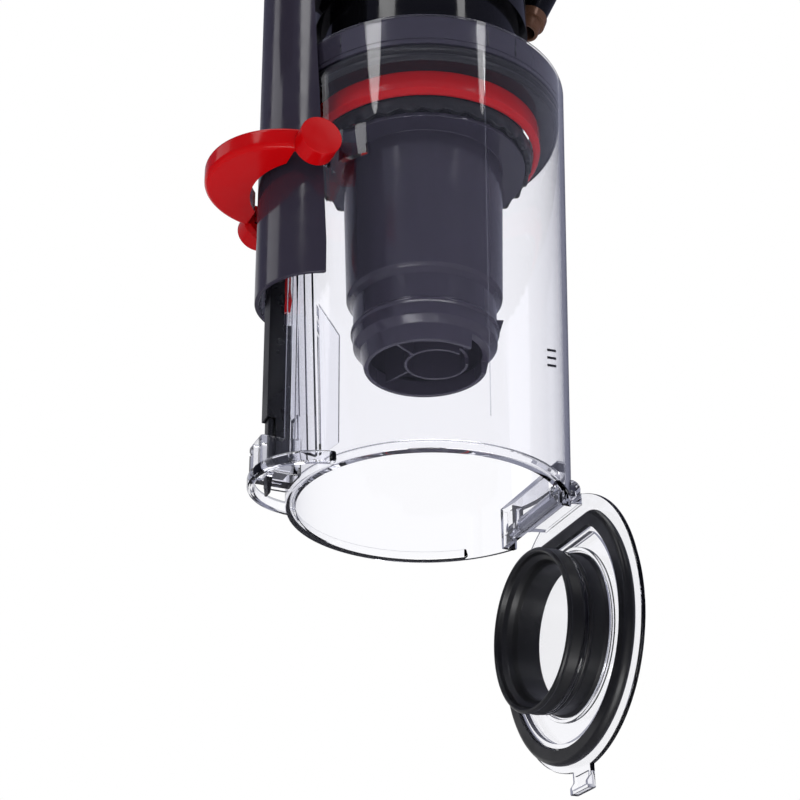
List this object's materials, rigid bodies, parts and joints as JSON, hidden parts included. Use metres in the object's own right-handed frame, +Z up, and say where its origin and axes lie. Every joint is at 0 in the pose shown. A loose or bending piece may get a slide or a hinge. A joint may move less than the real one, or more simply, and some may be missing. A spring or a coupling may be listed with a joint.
{
  "type": "cordless stick vacuum cleaner main unit",
  "caption": "Hand-held unit of a cordless stick vacuum with its clear bin slid down and the bin lid hanging open for emptying.",
  "frame": {"origin": "middle of the hand grip", "axes": "+Z up along the bin's axis, away from its open end; +X from the battery through the grip towards the bin and its lid hinge; +Y to the left"},
  "size_m": [0.2902, 0.158, 0.5095],
  "materials": {
    "clear_plastic": "clear, polished",
    "plum_gloss": "dark purple-grey, glossy",
    "red_gloss": "red, glossy",
    "black_rubber": "black, matt",
    "black_plastic": "black, satin",
    "grey_plastic": "mid grey, satin",
    "copper_plastic": "copper coloured, glossy",
    "steel": "bright steel",
    "aluminium": "machined",
    "laminated_steel": "laminated core with windings",
    "filter_paper": "pleated filter medium",
    "board_green": "circuit board"
  },
  "bodies": {
    "main": {"circuit_board": "board_green", "cyclone_body": "plum_gloss", "cyclone_cone_1": "black_plastic", "cyclone_cone_2": "black_plastic", "cyclone_cone_3": "black_plastic", "cyclone_cone_4": "black_plastic", "cyclone_cone_5": "black_plastic", "cyclone_cone_6": "black_plastic", "cyclone_cone_7": "black_plastic", "cyclone_cover": "plum_gloss", "cyclone_tip_1": "copper_plastic", "cyclone_tip_2": "copper_plastic", "cyclone_tip_3": "copper_plastic", "cyclone_tip_4": "copper_plastic", "cyclone_tip_5": "copper_plastic", "cyclone_tip_6": "copper_plastic", "cyclone_tip_7": "copper_plastic", "duct_sleeve": "plum_gloss", "grip_left": "grey_plastic", "grip_right": "grey_plastic", "grip_screws": "steel", "main_neck": "plum_gloss", "motor_bearings": "steel", "motor_bucket": "grey_plastic", "motor_housing": "plum_gloss", "motor_stator": "laminated_steel", "shroud_collector": "plum_gloss", "shroud_mesh": "steel", "trigger_switch": "black_plastic"},
    "bin": {"clear_bin": "clear_plastic", "collar_band": "plum_gloss", "collar_seal": "black_rubber", "red_ring": "red_gloss", "shroud_wiper": "black_rubber", "bin_runner": "black_plastic", "hinge_pin": "steel"},
    "lid": {"lid": "clear_plastic", "lid_seal": "black_rubber", "lid_gasket": "black_rubber"},
    "release_lever": {"release_lever": "red_gloss"},
    "pushrod": {"pushrod": "black_plastic"},
    "runner_catch": {"runner_catch": "red_gloss"},
    "trigger": {"trigger": "red_gloss"},
    "mode_button": {"mode_button": "grey_plastic"},
    "filter_cap": {"filter_cap": "black_plastic", "filter_media": "filter_paper"},
    "battery": {"battery_case": "black_plastic", "battery_cells": "aluminium"},
    "battery_latch": {"battery_latch": "red_gloss"},
    "rotor": {"rotor_shaft": "steel", "impeller": "aluminium"}
  },
  "joints": [
    {"name": "bin_slide", "type": "slide", "parent": "main", "child": "bin", "axis": [0, 0, 1], "range_m": [0, 0.056]},
    {"name": "lid_hinge", "type": "hinge", "parent": "bin", "child": "lid", "pos_m": [0.1766, 0, -0.3264], "axis": [0, 1, 0], "range_deg": [0, 91], "stiffness_Nm_per_rad": 0.012, "springref_deg": -91.67},
    {"name": "lever_press", "type": "hinge", "parent": "bin", "child": "release_lever", "pos_m": [0.0574, 0, -0.192], "axis": [0, 1, 0], "range_deg": [-8, 0], "stiffness_Nm_per_rad": 0.05, "springref_deg": 28.65},
    {"name": "pushrod_slide", "type": "slide", "parent": "bin", "child": "pushrod", "axis": [0, 0, 1], "range_m": [0, 0.008]},
    {"name": "catch_swing", "type": "hinge", "parent": "bin", "child": "runner_catch", "pos_m": [0.056, 0, -0.235], "axis": [1, 0, 0], "range_deg": [0, 12], "stiffness_Nm_per_rad": 0.002, "springref_deg": -17.19},
    {"name": "trigger_pull", "type": "hinge", "parent": "main", "child": "trigger", "pos_m": [0.033, 0, -0.009], "axis": [0, 1, 0], "range_deg": [0, 8], "stiffness_Nm_per_rad": 0.05, "springref_deg": -22.92},
    {"name": "mode_press", "type": "slide", "parent": "main", "child": "mode_button", "axis": [0, 0, -1], "range_m": [0, 0.0012], "stiffness_N_per_m": 300, "springref_m": -0.001},
    {"name": "filter_twist", "type": "hinge", "parent": "main", "child": "filter_cap", "pos_m": [0.122, 0, 0.05], "axis": [0, 0, 1], "range_deg": [0, 20]},
    {"name": "battery_slide", "type": "slide", "parent": "main", "child": "battery", "axis": [-1, 0, 0], "range_m": [0, 0.025]},
    {"name": "latch_press", "type": "slide", "parent": "battery", "child": "battery_latch", "axis": [0, 0, -1], "range_m": [0, 0.0012], "stiffness_N_per_m": 400, "springref_m": -0.001},
    {"name": "rotor_spin", "type": "hinge", "parent": "main", "child": "rotor", "pos_m": [0.122, 0, 0.01], "axis": [0, 0, 1], "continuous": true}
  ],
  "couplings": [
    {"joint": "pushrod_slide", "follows": "bin_slide", "ratio": 0.14286}
  ]
}
